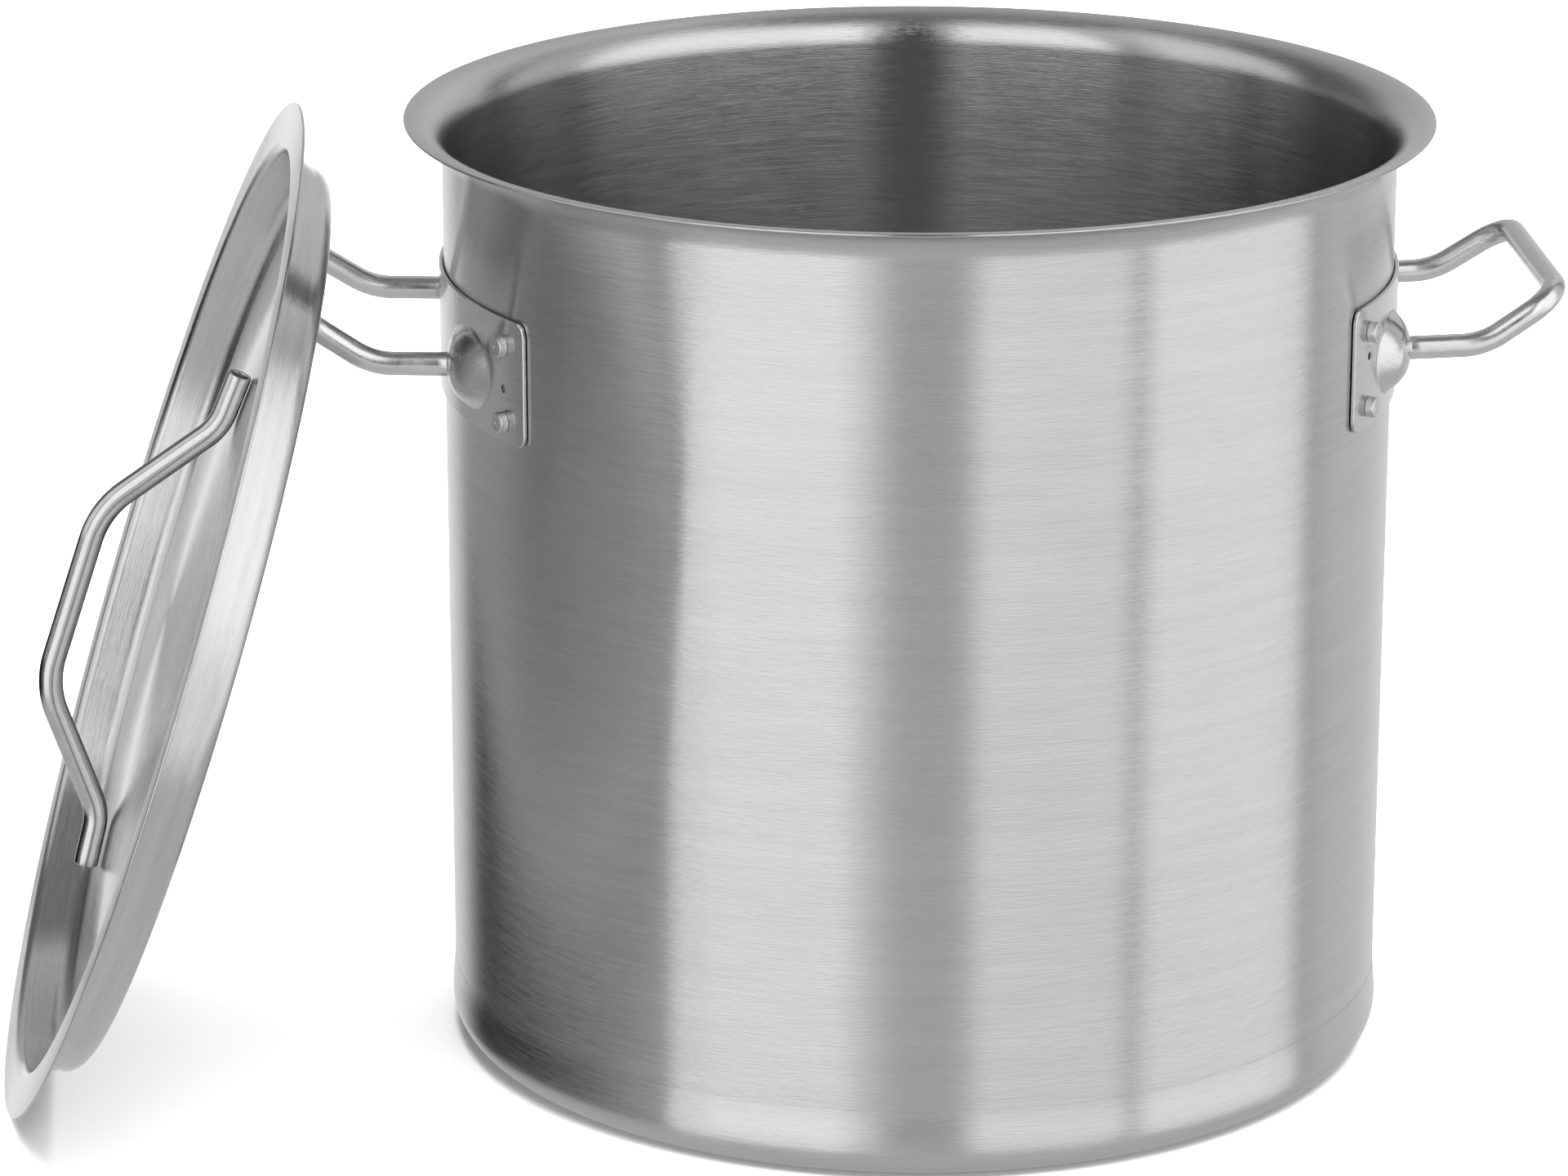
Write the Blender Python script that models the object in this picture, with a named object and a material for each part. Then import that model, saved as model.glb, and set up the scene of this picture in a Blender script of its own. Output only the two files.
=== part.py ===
"""Stock pot with two riveted tube handles, and its drop-in lid leaning on one of them.

Units are metres and +Z is up. The origin is the centre of the pot's flat base, on the surface it
stands on. +X points at the right-hand handle. Every separate piece is one named object.
"""

import math

import bmesh
import bpy
from mathutils import Matrix, Vector

# Pot: driving dimensions
POT_RADIUS = 0.181            # outside of the straight wall
POT_HEIGHT = 0.362            # floor to the top of the flared rim
SHEET = 0.001                 # stainless sheet of the pot and the lid
RIM_RADIUS = 0.1953           # outer edge of the flared rim
FLARE_RADIUS = 0.0125         # bend from the wall into the rim, on its outer side
GAP = 0.0003                  # clearance kept between touching pieces

# Base: an aluminium disc shut in between the pot and a pressed cap
CAP_SHEET = 0.0007
CAP_TOP = 0.0275              # height of the cap's upper edge on the wall
CAP_CORNER = 0.012            # outside corner between the cap's wall and floor
CORE_THICKNESS = 0.005
CORE_RADIUS = 0.160
BODY_CORNER = 0.010           # outside corner of the pot under the cap

# Side handles: bent tube on a curved bracket plate, the same on both sides
HANDLE_YAW = math.radians(3.7)
TUBE_RADIUS = 0.0045
TUBE_WALL = 0.0012
ARM_SPACING = 0.057           # each arm, sideways from the handle's middle
GRIP_SPACING = 0.0543
ARM_HEIGHT = 0.2812
BEND_REACH = 0.2085           # where the arms turn up, from the pot's axis
BEND_HEIGHT = 0.2820
GRIP_REACH = 0.2375
GRIP_HEIGHT = 0.3008
ARM_BEND = 0.028              # centre-line bend radii
GRIP_BEND = 0.015

# Bracket plate
PLATE_SHEET = 0.0015
PLATE_HALF_ANGLE = math.radians(33.05)
PLATE_BOTTOM = 0.2593
PLATE_TOP = 0.3065
PLATE_CORNER = 0.005
DOME_TOP = 0.1806             # top of each pressed dome, from the pot's axis
DOME_FALL = 2130.0            # fall of the dome's side, per cube of the distance from its top
DOME_OUTER = 0.87             # how much shorter the distance counts towards the plate's end
DOME_INNER = 0.50             # and towards the plate's middle
DOME_BLEND = 0.0005
WEEP_RADIUS = 0.0015
WEEP_HEIGHTS = (0.2866, 0.2797)      # one small hole at each end of the plate

# Rivets
RIVET_ANGLE = math.radians(28.7)
RIVET_HEIGHTS = (0.2960, 0.2672)
RIVET_SHANK = 0.0021
RIVET_HOLE = 0.0024
RIVET_HEAD = 0.0039
RIVET_HEAD_HEIGHT = 0.0034
INNER_HEAD = 0.0045
INNER_HEAD_HEIGHT = 0.0009

# Lid: pressed pan with a flange that rests on the rim and a low dome in the middle
LID_RADIUS = 0.1975
LID_EDGE = 0.1789             # where the flange turns down
LID_SKIRT = 0.1761            # outside of the skirt at its foot
LID_DEPTH = 0.0192            # flange top to the skirt's foot
LID_TOP_BEND = 0.0035
LID_FOOT_BEND = 0.0065
LID_DOME = 0.0110             # rise of the dome's middle above its edge
LID_TILT = math.radians(18.17)       # from upright, leaning on the left-hand grip
LID_AZIMUTH = math.radians(6.59)
LID_CENTRE = (-0.2898, -0.0739)

# Lid handle
LID_TUBE_RADIUS = 0.0046
LID_HANDLE_HALF = 0.1023
LID_FOOT_START = 0.0805
LID_GRIP_HALF = 0.0365
LID_GRIP_HEIGHT = 0.0468      # above the dome's edge
LID_HANDLE_BEND = 0.036
LID_HANDLE_TURN = math.radians(-3.0)
LID_HANDLE_SHIFT = -0.0042

# Mesh fineness
TURNED_SEGMENTS = 60
TUBE_SIDES = 10
BEND_STEPS = 4
PLATE_COLUMNS = 32
PLATE_ROWS = 9
RIVET_SEGMENTS = 10


def clear_scene():
    for obj in list(bpy.data.objects):
        bpy.data.objects.remove(obj, do_unlink=True)


def make_material(name, colour, roughness, metallic=1.0):
    material = bpy.data.materials.new(name)
    material.use_nodes = True
    shader = material.node_tree.nodes["Principled BSDF"]
    shader.inputs["Base Color"].default_value = (*colour, 1.0)
    shader.inputs["Roughness"].default_value = roughness
    shader.inputs["Metallic"].default_value = metallic
    return material


def add_object(name, bm, material=None, parent=None):
    """Turns a bmesh into a smooth-shaded object with its faces pointing out."""
    bmesh.ops.recalc_face_normals(bm, faces=bm.faces)
    mesh = bpy.data.meshes.new(name)
    bm.to_mesh(mesh)
    bm.free()
    mesh.shade_smooth()
    mesh.set_sharp_from_angle(angle=math.radians(35))
    obj = bpy.data.objects.new(name, mesh)
    bpy.context.scene.collection.objects.link(obj)
    if material:
        mesh.materials.append(material)
    if parent:
        obj.parent = parent
    return obj


def arc(centre, radius, start, end, steps=BEND_STEPS):
    """Points of an arc in the profile plane, with angles in degrees from +r towards +z."""
    points = []
    for i in range(steps + 1):
        angle = math.radians(start + (end - start) * i / steps)
        points.append((centre[0] + radius * math.cos(angle), centre[1] + radius * math.sin(angle)))
    return points


def turn(profile, segments=TURNED_SEGMENTS):
    """Turns a profile of (radius, height) points about Z. A point on the axis becomes a pole."""
    bm = bmesh.new()
    rings = []
    for radius, height in profile:
        if radius < 1e-9:
            rings.append([bm.verts.new((0.0, 0.0, height))])
            continue
        ring = []
        for i in range(segments):
            angle = 2 * math.pi * i / segments
            ring.append(bm.verts.new((radius * math.cos(angle), radius * math.sin(angle), height)))
        rings.append(ring)
    closed = len(rings[0]) > 1
    pairs = list(zip(rings, rings[1:]))
    if closed:
        pairs.append((rings[-1], rings[0]))
    for ring_a, ring_b in pairs:
        bridge(bm, ring_a, ring_b)
    return bm


def bridge(bm, ring_a, ring_b):
    """Faces between two rings, either of which may be a single pole."""
    count = max(len(ring_a), len(ring_b))
    for i in range(count):
        j = (i + 1) % count
        corners = [ring_a[i % len(ring_a)], ring_a[j % len(ring_a)]]
        corners += [ring_b[j % len(ring_b)], ring_b[i % len(ring_b)]]
        bm.faces.new(list(dict.fromkeys(corners)))


def rounded_path(corners, radii, steps=BEND_STEPS):
    """A path through corner points with an arc of the given radius at each inner corner."""
    path = [corners[0]]
    for before, corner, after, radius in zip(corners, corners[1:], corners[2:], radii):
        to_before = (before - corner).normalized()
        to_after = (after - corner).normalized()
        half = to_before.angle(to_after) / 2
        centre = corner + (to_before + to_after).normalized() * radius / math.sin(half)
        start = corner + to_before * radius / math.tan(half) - centre
        end = corner + to_after * radius / math.tan(half) - centre
        for i in range(steps + 1):
            path.append(centre + start.slerp(end, i / steps).normalized() * radius)
    path.append(corners[-1])
    return path


def sweep_tube(path, radius, wall, sides=TUBE_SIDES):
    """A hollow tube with square-cut open ends along a path that lies in one plane."""
    bm = bmesh.new()
    plane_normal = Vector()
    for a, b, c in zip(path, path[1:], path[2:]):
        plane_normal += (b - a).cross(c - b)
        if plane_normal.length > 1e-6:
            break
    skins = []
    for ring_radius in (radius, radius - wall):
        rings = []
        for i, point in enumerate(path):
            tangent = (path[min(i + 1, len(path) - 1)] - path[max(i - 1, 0)]).normalized()
            across = (plane_normal - plane_normal.dot(tangent) * tangent).normalized()
            over = tangent.cross(across)
            ring = []
            for k in range(sides):
                angle = 2 * math.pi * k / sides
                ring.append(bm.verts.new(point + ring_radius * (math.cos(angle) * across
                                                                + math.sin(angle) * over)))
            rings.append(ring)
        skins.append(rings)
        for ring_a, ring_b in zip(rings, rings[1:]):
            bridge(bm, ring_a, ring_b)
    bridge(bm, skins[0][0], skins[1][0])
    bridge(bm, skins[0][-1], skins[1][-1])
    return bm


def base_heights():
    """Heights of the pieces stacked in the base: core bottom, core top and pot bottom."""
    core_bottom = CAP_SHEET + GAP
    core_top = core_bottom + CORE_THICKNESS
    return core_bottom, core_top, core_top + GAP


def pot_body_profile():
    """The deep-drawn vessel: outside from the base's middle up to the rim, then down the inside."""
    bottom = base_heights()[2]
    wall = POT_RADIUS
    corner = (wall - BODY_CORNER, bottom + BODY_CORNER)
    flare = (wall + FLARE_RADIUS, POT_HEIGHT - SHEET - FLARE_RADIUS)
    outside = [(0.0, bottom)] + arc(corner, BODY_CORNER, -90, 0)
    outside += arc(flare, FLARE_RADIUS, 180, 90)
    lip = RIM_RADIUS - SHEET / 2
    outside += arc((lip, POT_HEIGHT - SHEET / 2), SHEET / 2, -90, 90, 2)
    inside = arc(flare, FLARE_RADIUS + SHEET, 90, 180)
    inside += arc(corner, BODY_CORNER - SHEET, 0, -90) + [(0.0, bottom + SHEET)]
    return outside + inside


def base_cap_profile():
    """The pressed cap that holds the core against the pot and wraps up its wall."""
    outer = POT_RADIUS + GAP + CAP_SHEET
    corner = (outer - CAP_CORNER, CAP_CORNER)
    outside = [(0.0, 0.0)] + arc(corner, CAP_CORNER, -90, 0) + [(outer, CAP_TOP - CAP_SHEET)]
    top = [(outer - CAP_SHEET / 2, CAP_TOP), (outer - CAP_SHEET, CAP_TOP)]
    inside = arc(corner, CAP_CORNER - CAP_SHEET, 0, -90) + [(0.0, CAP_SHEET)]
    return outside + top + inside


def base_core_profile():
    bottom, top, _ = base_heights()
    return [(0.0, bottom), (CORE_RADIUS, bottom), (CORE_RADIUS, top), (0.0, top)]


def smooth_max(a, b, blend):
    return 0.5 * (a + b + math.sqrt((a - b) ** 2 + blend ** 2))


def dome_reach(side, height, depth):
    """How far out the pressed domes reach, from the pot's axis, at a depth under the outer skin."""
    outward = abs(side) - ARM_SPACING
    outward *= DOME_OUTER if outward > 0 else DOME_INNER
    distance = math.hypot(outward, height - ARM_HEIGHT) + 0.4 * depth
    return DOME_TOP - depth - DOME_FALL * distance ** 3


def plate_column_limits(angle, radius):
    """Lowest and highest point of the plate at an angle, with its corners rounded."""
    to_end = (PLATE_HALF_ANGLE - abs(angle)) * radius
    trim = 0.0
    if to_end < PLATE_CORNER:
        trim = PLATE_CORNER - math.sqrt(PLATE_CORNER ** 2 - (PLATE_CORNER - to_end) ** 2)
    return PLATE_BOTTOM + trim, PLATE_TOP - trim


def bracket_mesh():
    """The plate: two skins over one grid of angle and height, joined around the edge."""
    bm = bmesh.new()
    outer_radius = POT_RADIUS + GAP + PLATE_SHEET
    skins = []
    for depth in (0.0, PLATE_SHEET):
        radius = outer_radius - depth
        grid = []
        for i in range(PLATE_COLUMNS + 1):
            share = 2 * i / PLATE_COLUMNS - 1
            # columns crowd towards the two ends, where the corners are round
            angle = PLATE_HALF_ANGLE * math.sin(share * math.pi / 2) * 0.5
            angle += PLATE_HALF_ANGLE * share * 0.5
            low, high = plate_column_limits(angle, outer_radius)
            column = []
            for j in range(PLATE_ROWS + 1):
                height = low + (high - low) * j / PLATE_ROWS
                side = radius * math.sin(angle)
                reach = smooth_max(radius * math.cos(angle), dome_reach(side, height, depth),
                                   DOME_BLEND)
                column.append(bm.verts.new((reach, side, height)))
            grid.append(column)
        skins.append(grid)
        for left, right in zip(grid, grid[1:]):
            for j in range(PLATE_ROWS):
                bm.faces.new((left[j], right[j], right[j + 1], left[j + 1]))
    outlines = []
    for grid in skins:
        outline = grid[0] + [column[-1] for column in grid[1:-1]]
        outline += grid[-1][::-1] + [column[0] for column in grid[-2:0:-1]]
        outlines.append(outline)
    bridge(bm, outlines[0], outlines[1])
    return bm


def side_handle_path():
    """Centre line from one dome, out along an arm, round the grip and back."""
    start = DOME_TOP + 1.5 * GAP
    near = [Vector((start, ARM_SPACING, ARM_HEIGHT)), Vector((BEND_REACH, ARM_SPACING, BEND_HEIGHT)),
            Vector((GRIP_REACH, GRIP_SPACING, GRIP_HEIGHT))]
    far = [Vector((p.x, -p.y, p.z)) for p in reversed(near)]
    return rounded_path(near + far, (ARM_BEND, GRIP_BEND, GRIP_BEND, ARM_BEND))


def radial_matrix(angle, height, reach=0.0):
    """Places a piece whose own Z points straight out from the pot's wall."""
    turn_out = Matrix.Rotation(angle, 4, "Z") @ Matrix.Rotation(math.radians(90), 4, "Y")
    return Matrix.Translation((0, 0, height)) @ turn_out @ Matrix.Translation((0, 0, reach))


def rivet_profile():
    """A solid rivet through the wall and the plate, with a low head inside the pot."""
    inner_face = (POT_RADIUS - SHEET) * math.cos(math.pi / TURNED_SEGMENTS) - GAP
    outer_face = POT_RADIUS + GAP + PLATE_SHEET + GAP
    head_top = outer_face + RIVET_HEAD_HEIGHT
    low = inner_face - INNER_HEAD_HEIGHT
    return [(0.0, low), (INNER_HEAD - 0.0008, low), (INNER_HEAD, inner_face),
            (RIVET_SHANK, inner_face), (RIVET_SHANK, outer_face),
            (RIVET_HEAD, outer_face), (RIVET_HEAD, head_top - 0.0006),
            (RIVET_HEAD - 0.0006, head_top), (0.0, head_top)]


def hole_cutter(name, places, radius):
    """One guide object with a cylinder at each (angle, height), used only to cut holes."""
    bm = bmesh.new()
    for angle, height in places:
        matrix = radial_matrix(angle, height, POT_RADIUS)
        bmesh.ops.create_cone(bm, cap_ends=True, segments=16, radius1=radius, radius2=radius,
                              depth=0.016, matrix=matrix)
    cutter = add_object(name, bm)
    cutter.hide_render = True
    cutter.display_type = "WIRE"
    return cutter


def cut(obj, cutter):
    modifier = obj.modifiers.new("cut_" + cutter.name, "BOOLEAN")
    modifier.operation = "DIFFERENCE"
    modifier.object = cutter
    modifier.solver = "EXACT"


def dome_height(radius):
    """Height of the lid's dome above its own edge."""
    edge = LID_SKIRT - LID_FOOT_BEND
    return LID_DOME * (1 - (radius / edge) ** 2)


def lid_profile():
    """The lid in its own frame: the flange's top is at zero and the handle side is +Z."""
    foot = LID_SKIRT - SHEET
    disc = -LID_DEPTH + SHEET
    bend = (LID_EDGE + LID_TOP_BEND, -LID_TOP_BEND)
    foot_bend = (LID_SKIRT - LID_FOOT_BEND, -LID_DEPTH + LID_FOOT_BEND)
    edge = (LID_RADIUS - SHEET / 2, -SHEET / 2)
    dome_radii = [(LID_SKIRT - LID_FOOT_BEND) * share for share in (0.75, 0.5, 0.25)]
    top = [(0.0, disc + LID_DOME)]
    top += [(r, disc + dome_height(r)) for r in reversed(dome_radii)]
    top += arc(foot_bend, LID_FOOT_BEND - SHEET, -90, 0, 3)[:-1] + [(foot, foot_bend[1] + 0.001)]
    top += arc(bend, LID_TOP_BEND, 180, 90, 3)
    under = arc(edge, SHEET / 2, 90, -90, 2)
    under += arc(bend, LID_TOP_BEND - SHEET, 90, 180, 3)
    under += [(LID_SKIRT, foot_bend[1] + 0.001)] + arc(foot_bend, LID_FOOT_BEND, 0, -90, 3)[1:]
    under += [(r, -LID_DEPTH + dome_height(r)) for r in dome_radii]
    under += [(0.0, -LID_DEPTH + LID_DOME)]
    return top + under


def lid_handle_path():
    """Centre line of the lid's handle, whose two feet lie on the dome."""
    disc = -LID_DEPTH + SHEET
    clear = LID_TUBE_RADIUS + GAP
    lift = 0.0002
    end = Vector((LID_HANDLE_HALF, 0, disc + dome_height(LID_HANDLE_HALF) + clear + lift))
    foot = Vector((LID_FOOT_START, 0, disc + dome_height(LID_FOOT_START) + clear + lift))
    grip = Vector((LID_GRIP_HALF, 0, disc + LID_GRIP_HEIGHT))
    one_side = [end, foot, grip]
    other_side = [Vector((-p.x, 0, p.z)) for p in reversed(one_side)]
    return rounded_path(one_side + other_side, (LID_HANDLE_BEND * 0.6, LID_HANDLE_BEND,
                                                LID_HANDLE_BEND, LID_HANDLE_BEND * 0.6))


def lid_frame():
    """An empty at the middle of the lid's flange, +Z out of its top and +X up its slope."""
    normal = Vector((-math.cos(LID_TILT) * math.cos(LID_AZIMUTH),
                     -math.cos(LID_TILT) * math.sin(LID_AZIMUTH), math.sin(LID_TILT)))
    up_slope = (Vector((0, 0, 1)) - normal * normal.z).normalized()
    height = (LID_RADIUS - SHEET / 2) * up_slope.z + SHEET / 2 * (1 + normal.z)
    matrix = Matrix((up_slope, normal.cross(up_slope), normal)).transposed().to_4x4()
    matrix.translation = (*LID_CENTRE, height)
    empty = bpy.data.objects.new("lid_frame", None)
    bpy.context.scene.collection.objects.link(empty)
    empty.matrix_world = matrix
    return empty


def handle_sides():
    """Each side's name and the direction of its handle's middle."""
    return (("right", HANDLE_YAW), ("left", HANDLE_YAW + math.pi))


def rivet_places():
    """Name, angle and height of every rivet."""
    places = []
    for side, direction in handle_sides():
        number = 1
        for offset in (-RIVET_ANGLE, RIVET_ANGLE):
            for height in RIVET_HEIGHTS:
                places.append((f"rivet_{side}_{number}", direction + offset, height))
                number += 1
    return places


def build():
    clear_scene()
    brushed = make_material("brushed_stainless", (0.60, 0.60, 0.60), 0.32)
    satin = make_material("satin_stainless", (0.58, 0.58, 0.58), 0.28)
    bright = make_material("bright_stainless", (0.66, 0.66, 0.66), 0.20)
    aluminium = make_material("aluminium_core", (0.78, 0.78, 0.79), 0.45)

    body = add_object("pot_body", turn(pot_body_profile()), brushed)
    add_object("base_core", turn(base_core_profile()), aluminium)
    add_object("base_cap", turn(base_cap_profile()), brushed.copy())

    places = rivet_places()
    rivet_holes = hole_cutter("rivet_holes", [place[1:] for place in places], RIVET_HOLE)
    weep_places = []
    for _, direction in handle_sides():
        for offset, height in zip((-RIVET_ANGLE, RIVET_ANGLE), WEEP_HEIGHTS):
            weep_places.append((direction + offset, height))
    weep_holes = hole_cutter("weep_holes", weep_places, WEEP_RADIUS)
    cut(body, rivet_holes)

    for side, direction in handle_sides():
        plate = add_object("bracket_" + side, bracket_mesh(), bright.copy())
        plate.rotation_euler.z = direction
        cut(plate, rivet_holes)
        cut(plate, weep_holes)
        tube = sweep_tube(side_handle_path(), TUBE_RADIUS, TUBE_WALL)
        handle = add_object("handle_" + side, tube, satin.copy())
        handle.rotation_euler.z = direction
    for name, angle, height in places:
        rivet = add_object(name, turn(rivet_profile(), RIVET_SEGMENTS), bright.copy())
        rivet.matrix_world = radial_matrix(angle, height)

    frame = lid_frame()
    add_object("lid_pan", turn(lid_profile()), brushed.copy(), frame)
    lid_tube = sweep_tube(lid_handle_path(), LID_TUBE_RADIUS, TUBE_WALL)
    lid_handle = add_object("lid_handle", lid_tube, satin.copy(), frame)
    lid_handle.rotation_euler.z = LID_HANDLE_TURN
    lid_handle.location.x = LID_HANDLE_SHIFT


build()
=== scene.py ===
"""The visible surfaces of the stock pot and its lid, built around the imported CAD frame.

Units are metres and +Z is up. Turned pieces are built about their own Z axis, so that their
brushing, which follows Object coordinates, runs round them.
"""

import math

import bmesh
import bpy
import numpy as np
from mathutils import Matrix, Vector


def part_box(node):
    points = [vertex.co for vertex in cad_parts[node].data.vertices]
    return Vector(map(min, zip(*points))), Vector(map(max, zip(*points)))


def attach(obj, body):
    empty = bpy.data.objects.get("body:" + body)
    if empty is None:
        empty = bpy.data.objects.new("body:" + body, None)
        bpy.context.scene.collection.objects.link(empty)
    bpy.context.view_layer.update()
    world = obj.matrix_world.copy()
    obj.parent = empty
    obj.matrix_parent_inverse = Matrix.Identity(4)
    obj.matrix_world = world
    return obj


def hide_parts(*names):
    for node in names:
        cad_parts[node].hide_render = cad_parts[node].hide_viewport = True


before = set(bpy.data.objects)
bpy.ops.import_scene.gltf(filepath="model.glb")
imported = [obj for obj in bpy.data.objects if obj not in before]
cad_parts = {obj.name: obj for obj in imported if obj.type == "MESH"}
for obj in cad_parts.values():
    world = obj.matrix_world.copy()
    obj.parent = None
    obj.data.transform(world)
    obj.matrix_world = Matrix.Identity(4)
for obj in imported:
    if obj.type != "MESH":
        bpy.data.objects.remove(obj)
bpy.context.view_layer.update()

GAP = 0.0003                 # clearance between touching CAD pieces
FINE_GAP = 0.0001            # the closer distance between two visible pieces that touch
SHEET = 0.001                # stainless sheet of the pot and the lid
SHARP_ANGLE = math.radians(40)
SEGMENTS = 256               # sides of the large turned pieces
TUBE_SIDES = 40


def node_points(node):
    """Every vertex of a CAD node, in the row frame."""
    return np.array([v.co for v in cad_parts[node].data.vertices])


def node_direction(node):
    """Direction of a node's middle, as an angle about the pot's axis."""
    middle = node_points(node).mean(axis=0)
    return math.atan2(middle[1], middle[0])


def lid_matrix():
    """The lid's own frame: origin at the top of its flange, +Z out of its top, +X up its slope."""
    points = node_points("lid_pan")
    middle = points.mean(axis=0)
    _, directions = np.linalg.eigh(np.cov((points - middle).T))
    normal = Vector(directions[:, 0])
    if normal.z < 0:
        normal.negate()
    top = max((points - middle) @ np.array(normal))
    up_slope = (Vector((0, 0, 1)) - normal * normal.z).normalized()
    matrix = Matrix((up_slope, normal.cross(up_slope), normal)).transposed().to_4x4()
    matrix.translation = Vector(middle) + normal * top
    return matrix


# ---------------------------------------------------------------- shapes

def arc(centre, radius, start, end, steps=12):
    """Points of an arc in the profile plane, with angles in degrees from +r towards +z."""
    points = []
    for i in range(steps + 1):
        angle = math.radians(start + (end - start) * i / steps)
        points.append((centre[0] + radius * math.cos(angle), centre[1] + radius * math.sin(angle)))
    return points


def bridge(bm, ring_a, ring_b):
    """Faces between two rings, either of which may be a single pole."""
    count = max(len(ring_a), len(ring_b))
    for i in range(count):
        j = (i + 1) % count
        corners = [ring_a[i % len(ring_a)], ring_a[j % len(ring_a)]]
        corners += [ring_b[j % len(ring_b)], ring_b[i % len(ring_b)]]
        bm.faces.new(list(dict.fromkeys(corners)))


def turn(profile, segments):
    """Turns a closed profile of (radius, height) points about Z."""
    bm = bmesh.new()
    rings = []
    for radius, height in profile:
        if radius < 1e-9:
            rings.append([bm.verts.new((0.0, 0.0, height))])
            continue
        ring = []
        for i in range(segments):
            angle = 2 * math.pi * i / segments
            ring.append(bm.verts.new((radius * math.cos(angle), radius * math.sin(angle), height)))
        rings.append(ring)
    pairs = list(zip(rings, rings[1:]))
    if len(rings[0]) > 1:
        pairs.append((rings[-1], rings[0]))
    for ring_a, ring_b in pairs:
        bridge(bm, ring_a, ring_b)
    return bm


def rounded_path(corners, radii, steps=16):
    """A path through corner points with an arc of the given radius at each inner corner."""
    path = [corners[0]]
    for before, corner, after, radius in zip(corners, corners[1:], corners[2:], radii):
        to_before = (before - corner).normalized()
        to_after = (after - corner).normalized()
        half = to_before.angle(to_after) / 2
        centre = corner + (to_before + to_after).normalized() * radius / math.sin(half)
        start = corner + to_before * radius / math.tan(half) - centre
        end = corner + to_after * radius / math.tan(half) - centre
        for i in range(steps + 1):
            path.append(centre + start.slerp(end, i / steps).normalized() * radius)
    path.append(corners[-1])
    return path


def even_path(path, spacing):
    """The same path with extra points along its straight runs."""
    points = [path[0]]
    for a, b in zip(path, path[1:]):
        steps = max(1, round((b - a).length / spacing))
        points += [a.lerp(b, i / steps) for i in range(1, steps + 1)]
    return points


def sweep_tube(bm, path, radius, wall, sides=TUBE_SIDES):
    """A hollow tube with softened open ends, along a path that lies in one plane."""
    plane_normal = Vector()
    for a, b, c in zip(path, path[1:], path[2:]):
        plane_normal += (b - a).cross(c - b)
        if plane_normal.length > 1e-6:
            break
    lip = wall / 2
    ends = []
    for degrees in (0, 30, 60, 90, 120, 150, 180):
        angle = math.radians(degrees)
        ends.append((lip * math.sin(angle), radius - lip + lip * math.cos(angle)))
    frames = []
    for i, point in enumerate(path):
        tangent = (path[min(i + 1, len(path) - 1)] - path[max(i - 1, 0)]).normalized()
        across = (plane_normal - plane_normal.dot(tangent) * tangent).normalized()
        frames.append((point, tangent, across, tangent.cross(across)))

    def ring(place, ring_radius, along=0.0):
        point, tangent, across, over = place
        verts = []
        for k in range(sides):
            angle = 2 * math.pi * k / sides
            out = math.cos(angle) * across + math.sin(angle) * over
            verts.append(bm.verts.new(point + tangent * along + ring_radius * out))
        return verts

    loops = [ring(place, radius) for place in frames[1:-1]]
    loops += [ring(frames[-1], r, push - lip) for push, r in ends]
    loops += [ring(place, radius - wall) for place in reversed(frames[1:-1])]
    loops += [ring(frames[0], r, lip - push) for push, r in reversed(ends)]
    for ring_a, ring_b in zip(loops, loops[1:] + loops[:1]):
        bridge(bm, ring_a, ring_b)
    return bm


def add_object(name, bm):
    """A new object in the scene, with the mesh that was built."""
    mesh = bpy.data.meshes.new(name)
    bm.to_mesh(mesh)
    bm.free()
    obj = bpy.data.objects.new(name, mesh)
    bpy.context.scene.collection.objects.link(obj)
    return obj


def make_piece(name, bm, material, body, nodes, matrix=None):
    """A smooth-shaded piece that rides on a CAD body and stands for the named CAD nodes."""
    bmesh.ops.recalc_face_normals(bm, faces=bm.faces)
    piece = add_object(name, bm)
    piece.data.shade_smooth()
    piece.data.set_sharp_from_angle(angle=SHARP_ANGLE)
    piece.data.materials.append(material)
    if matrix:
        piece.matrix_world = matrix
    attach(piece, body)
    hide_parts(*nodes)
    return piece


# ---------------------------------------------------------------- materials

class Nodes:
    """Short ways to add shader nodes to one tree.

    An input is given by its label, with _ for a space, or by i and its number.
    """

    def __init__(self, tree):
        self.tree = tree

    def add(self, kind, settings=None, **inputs):
        node = self.tree.nodes.new(kind)
        for key, value in (settings or {}).items():
            setattr(node, key, value)
        for key, value in inputs.items():
            socket = node.inputs[int(key[1:])] if key[0] == "i" and key[1:].isdigit() else None
            socket = socket or node.inputs[key.replace("_", " ")]
            if isinstance(value, bpy.types.NodeSocket):
                self.tree.links.new(value, socket)
            else:
                socket.default_value = value
        return node

    def math(self, operation, a, b=0.0, c=0.0):
        node = self.add("ShaderNodeMath", {"operation": operation}, i0=a, i1=b, i2=c)
        return node.outputs[0]

    def scale(self, colour, factor):
        node = self.add("ShaderNodeVectorMath", {"operation": "SCALE"}, i0=colour, Scale=factor)
        return node.outputs[0]

    def noise(self, vector, scale, detail=2.0, roughness=0.5):
        node = self.add("ShaderNodeTexNoise", None, Vector=vector, Scale=scale, Detail=detail,
                        Roughness=roughness)
        return node.outputs[0]

    def span(self, value, low, high, from_low=0.0, from_high=1.0):
        node = self.add("ShaderNodeMapRange", None, i0=value, i1=from_low, i2=from_high, i3=low,
                        i4=high)
        return node.outputs[0]


BRUSH_DEPTH = 0.00006
TUBE_MARK_DEPTH = 0.00005


def new_material(name):
    """A new material, with the short ways to its nodes and with its shader."""
    material = bpy.data.materials.new(name)
    material.use_nodes = True
    return material, Nodes(material.node_tree), material.node_tree.nodes["Principled BSDF"]


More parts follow.
